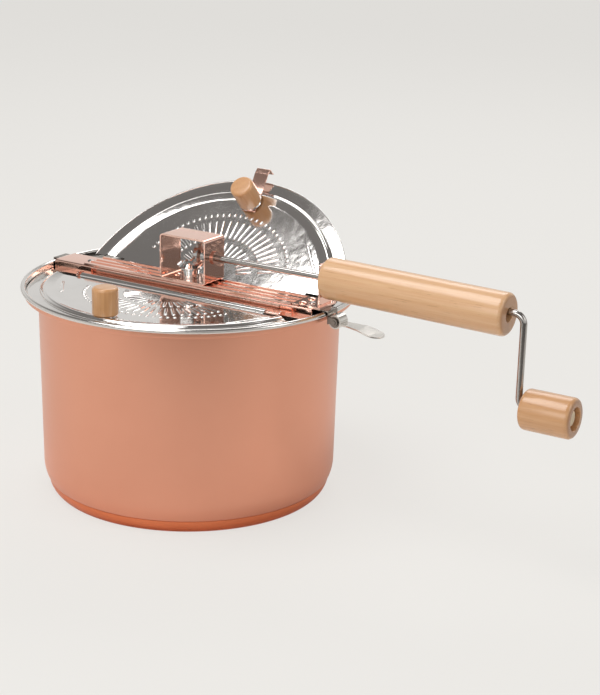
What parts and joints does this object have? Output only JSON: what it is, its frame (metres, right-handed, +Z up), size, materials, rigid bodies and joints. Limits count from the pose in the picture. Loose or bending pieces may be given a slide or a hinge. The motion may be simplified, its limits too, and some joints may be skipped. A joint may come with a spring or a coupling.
{
  "type": "stovetop popcorn popper",
  "caption": "Copper-faced pan with two half lids hinged on a crossbar and a wooden-handled crank that turns a stirrer through bevel gears.",
  "frame": {"origin": "centre of the pan's flat underside", "axes": "+Z up, +X along the crossbar toward the handle, -Y toward the lid that is closed at rest"},
  "size_m": [0.435, 0.248, 0.2264],
  "materials": {
    "copper_plate": "satin copper plating over steel sheet",
    "copper_core": "satin copper facing over a thick heat-spreading disc",
    "copper_sheet": "polished copper sheet",
    "steel_sheet": "polished stainless sheet",
    "steel_bar": "bright steel bar",
    "steel_small": "plain steel fasteners",
    "bearing_metal": "turned bearing metal",
    "wood_turned": "clear lacquer over pale turned wood",
    "end_cap": "pale moulded cap"
  },
  "bodies": {
    "pan_body": {"pan_shell": "copper_plate", "base_disc": "copper_core", "crossbar_strap": "copper_sheet", "crossbar_channel": "copper_sheet", "crossbar_cover": "copper_sheet", "crossbar_rivet": "steel_small", "rim_hook": "steel_sheet", "gear_bracket": "copper_sheet", "bracket_rivets": "copper_sheet", "crank_bushing": "copper_sheet", "stirrer_bush": "bearing_metal", "handle_grip": "wood_turned", "handle_bracket": "copper_sheet", "handle_bracket_rivets": "copper_sheet", "handle_screws": "steel_small", "latch_clip": "steel_sheet", "latch_rivet": "steel_small", "latch_pin": "steel_small", "front_hinge_pin": "copper_sheet", "rear_hinge_pin": "copper_sheet"},
    "front_lid_body": {"front_lid": "steel_sheet", "front_knob": "wood_turned", "front_knob_screw": "steel_small"},
    "rear_lid_body": {"rear_lid": "steel_sheet", "rear_knob": "wood_turned", "rear_knob_screw": "steel_small", "rear_lid_clip": "copper_sheet"},
    "crank_body": {"crank_rod": "steel_bar", "drive_gear": "steel_bar", "drive_gear_pin": "steel_small", "rod_end_cap": "end_cap"},
    "crank_knob_body": {"crank_knob": "wood_turned"},
    "stirrer_body": {"stirrer_shaft": "steel_bar", "driven_gear": "steel_bar", "driven_gear_pin": "steel_small", "thrust_washer": "steel_small", "shaft_clip": "steel_small", "stirrer_hub": "steel_bar", "stirrer_wires": "steel_bar"},
    "latch_body": {"latch_lever": "steel_sheet"}
  },
  "joints": [
    {"name": "front_lid_hinge", "type": "hinge", "parent": "pan_body", "child": "front_lid_body", "pos_m": [0, -0.022, 0.1513], "axis": [-1, 0, 0], "range_deg": [0, 85]},
    {"name": "rear_lid_hinge", "type": "hinge", "parent": "pan_body", "child": "rear_lid_body", "pos_m": [0, 0.022, 0.1513], "axis": [1, 0, 0], "range_deg": [-43.5, 41.5]},
    {"name": "crank_turn", "type": "hinge", "parent": "pan_body", "child": "crank_body", "pos_m": [0.12, 0, 0.1776], "axis": [1, 0, 0], "continuous": true},
    {"name": "crank_knob_spin", "type": "hinge", "parent": "crank_body", "child": "crank_knob_body", "pos_m": [0.29, 0, 0.1135], "axis": [1, 0, 0], "continuous": true},
    {"name": "stirrer_turn", "type": "hinge", "parent": "pan_body", "child": "stirrer_body", "pos_m": [0, 0, 0.09], "axis": [0, 0, 1], "continuous": true},
    {"name": "latch_hinge", "type": "hinge", "parent": "pan_body", "child": "latch_body", "pos_m": [0.1295, -0.003, 0.1495], "axis": [0, -1, 0], "range_deg": [0, 22], "stiffness_Nm_per_rad": 0.06, "springref_deg": -11.46}
  ],
  "couplings": [
    {"joint": "stirrer_turn", "follows": "crank_turn", "ratio": 1}
  ]
}
